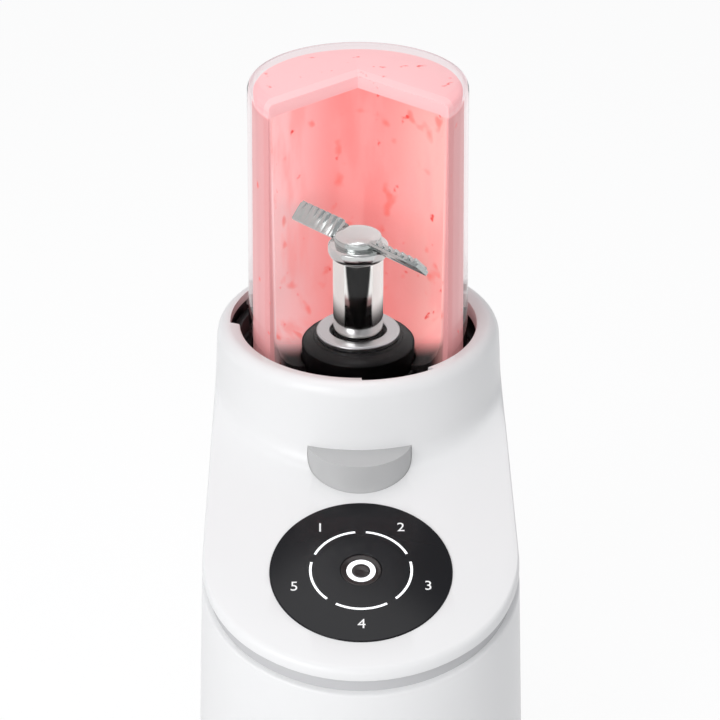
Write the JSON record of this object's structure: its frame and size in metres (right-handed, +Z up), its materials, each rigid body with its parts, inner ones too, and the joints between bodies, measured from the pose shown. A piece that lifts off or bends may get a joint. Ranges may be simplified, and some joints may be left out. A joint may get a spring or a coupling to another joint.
{
  "type": "ice cream maker",
  "caption": "Tabletop ice cream maker with a tall tapered body, a sloped control deck, a screw-in upside-down jar and a blade that spins and climbs through it.",
  "frame": {"origin": "centre of the footprint, on the table under the feet", "axes": "+Z up along the jar, -Y towards the user and the control deck, +X to the user's right"},
  "size_m": [0.1464, 0.2506, 0.3638],
  "materials": {
    "body_white": "satin white moulding",
    "seam_grey": "light grey, fine matt",
    "base_grey": "off-white, plain moulding",
    "rubber": "matt",
    "screw_steel": "plain bright steel",
    "polished_steel": "polished",
    "blade_steel": "fine ground",
    "matte_black": "fine matt",
    "gloss_black": "smooth",
    "panel_black": "piano gloss",
    "light_white": "diffusing",
    "circuit_green": "solder mask",
    "button_grey": "satin",
    "plate_metal": "cut sheet",
    "gear_plastic": "natural acetal",
    "brass": "machined",
    "winding_copper": "lacquered winding on laminations",
    "lamination_steel": "stacked sheet",
    "frame_dark": "glass-filled moulding",
    "brush_brown": "moulded holder",
    "jar_clear": "clear",
    "gasket_grey": "silicone"
  },
  "bodies": {
    "base": {"lower_housing": "body_white", "upper_housing": "body_white", "seam_ring": "seam_grey", "base_plate": "base_grey", "rubber_feet": "rubber", "base_screws": "screw_steel", "socket_liner": "matte_black", "control_panel": "panel_black", "light_arcs": "light_white", "control_board": "circuit_green", "start_switch": "matte_black", "spring_bracket": "base_grey", "lower_gear_plate": "plate_metal", "upper_gear_plate": "plate_metal", "gear_posts": "screw_steel", "shaft_bearings": "screw_steel", "idler_pin": "screw_steel", "motor_stator": "lamination_steel", "motor_frame": "frame_dark", "motor_brushes": "brush_brown", "guide_rods": "screw_steel", "lift_motor": "lamination_steel", "top_bracket": "plate_metal", "power_board": "circuit_green", "cord_gland": "rubber", "jar_switch": "matte_black", "release_spring": "screw_steel"},
    "start_key": {"start_button": "panel_black", "start_ring": "light_white"},
    "release_key": {"release_button": "button_grey"},
    "lock": {"lock_ring": "matte_black"},
    "lid_hub": {"hub_flange": "polished_steel"},
    "jar_and_cap": {"jar": "jar_clear", "blade_cap": "gloss_black", "cap_gasket": "gasket_grey"},
    "bush": {"seal_bush": "gloss_black"},
    "blade_set": {"blade_post": "polished_steel", "post_cap": "polished_steel", "blade": "blade_steel", "blade_nut": "polished_steel"},
    "output": {"output_gear": "gear_plastic", "drive_shaft": "screw_steel"},
    "spindle_set": {"spindle": "polished_steel", "spindle_collar": "screw_steel"},
    "carriage": {"lift_carriage": "base_grey", "carriage_bearing": "screw_steel", "lead_nut": "brass"},
    "screw": {"lift_screw": "screw_steel", "screw_gear": "gear_plastic"},
    "lift_drive": {"lift_pinion": "brass"},
    "rotor": {"motor_rotor": "winding_copper", "motor_shaft": "screw_steel", "motor_pinion": "brass", "cooling_fan": "base_grey"},
    "idler": {"idler_gear": "gear_plastic"}
  },
  "joints": [
    {"name": "jar_twist", "type": "hinge", "parent": "base", "child": "lock", "pos_m": [0, 0.05205, 0.2078], "axis": [0, 0, 1], "range_deg": [0, 30]},
    {"name": "jar_lift", "type": "slide", "parent": "base", "child": "lid_hub", "axis": [0, 0, 1], "range_m": [0, 0.075]},
    {"name": "jar_turn", "type": "hinge", "parent": "lid_hub", "child": "jar_and_cap", "pos_m": [0, 0.05205, 0.212], "axis": [0, 0, 1], "range_deg": [0, 30]},
    {"name": "blade_spin", "type": "hinge", "parent": "lid_hub", "child": "bush", "pos_m": [0, 0.05205, 0.23], "axis": [0, 0, 1], "continuous": true},
    {"name": "blade_lift", "type": "slide", "parent": "bush", "child": "blade_set", "axis": [0, 0, 1], "range_m": [-0.034, 0.06]},
    {"name": "output_gear_spin", "type": "hinge", "parent": "base", "child": "output", "pos_m": [0, 0.05205, 0.026], "axis": [0, 0, 1], "continuous": true},
    {"name": "spindle_lift", "type": "slide", "parent": "output", "child": "spindle_set", "axis": [0, 0, 1], "range_m": [-0.034, 0.06]},
    {"name": "carriage_lift", "type": "slide", "parent": "base", "child": "carriage", "axis": [0, 0, 1], "range_m": [-0.034, 0.06]},
    {"name": "lift_screw_spin", "type": "hinge", "parent": "base", "child": "screw", "pos_m": [0, 0.09405, 0.1], "axis": [0, 0, 1], "range_deg": [-2705, 1535]},
    {"name": "lift_pinion_spin", "type": "hinge", "parent": "base", "child": "lift_drive", "pos_m": [0.02442, 0.08974, 0.198], "axis": [0, 0, 1], "range_deg": [-2790, 4920]},
    {"name": "motor_spin", "type": "hinge", "parent": "base", "child": "rotor", "pos_m": [0, -0.0417, 0.085], "axis": [0, 0, 1], "continuous": true},
    {"name": "idler_spin", "type": "hinge", "parent": "base", "child": "idler", "pos_m": [0, -0.00795, 0.026], "axis": [0, 0, 1], "continuous": true},
    {"name": "start_button_press", "type": "slide", "parent": "base", "child": "start_key", "axis": [0, 0.2487, -0.9686], "range_m": [0, 0.0008], "stiffness_N_per_m": 500, "springref_m": -0.001},
    {"name": "release_button_press", "type": "slide", "parent": "base", "child": "release_key", "axis": [0, 0, -1], "range_m": [0, 0.003], "stiffness_N_per_m": 300, "springref_m": -0.004, "deforming": ["release_spring"]}
  ],
  "couplings": [
    {"joint": "jar_turn", "follows": "jar_twist", "ratio": 1},
    {"joint": "blade_spin", "follows": "output_gear_spin", "ratio": 1},
    {"joint": "motor_spin", "follows": "output_gear_spin", "ratio": 4},
    {"joint": "idler_spin", "follows": "output_gear_spin", "ratio": -1.4},
    {"joint": "blade_lift", "follows": "carriage_lift", "ratio": 1},
    {"joint": "spindle_lift", "follows": "carriage_lift", "ratio": 1},
    {"joint": "lift_screw_spin", "follows": "carriage_lift", "rad_per_m": -785.4},
    {"joint": "lift_pinion_spin", "follows": "carriage_lift", "rad_per_m": 1428}
  ]
}
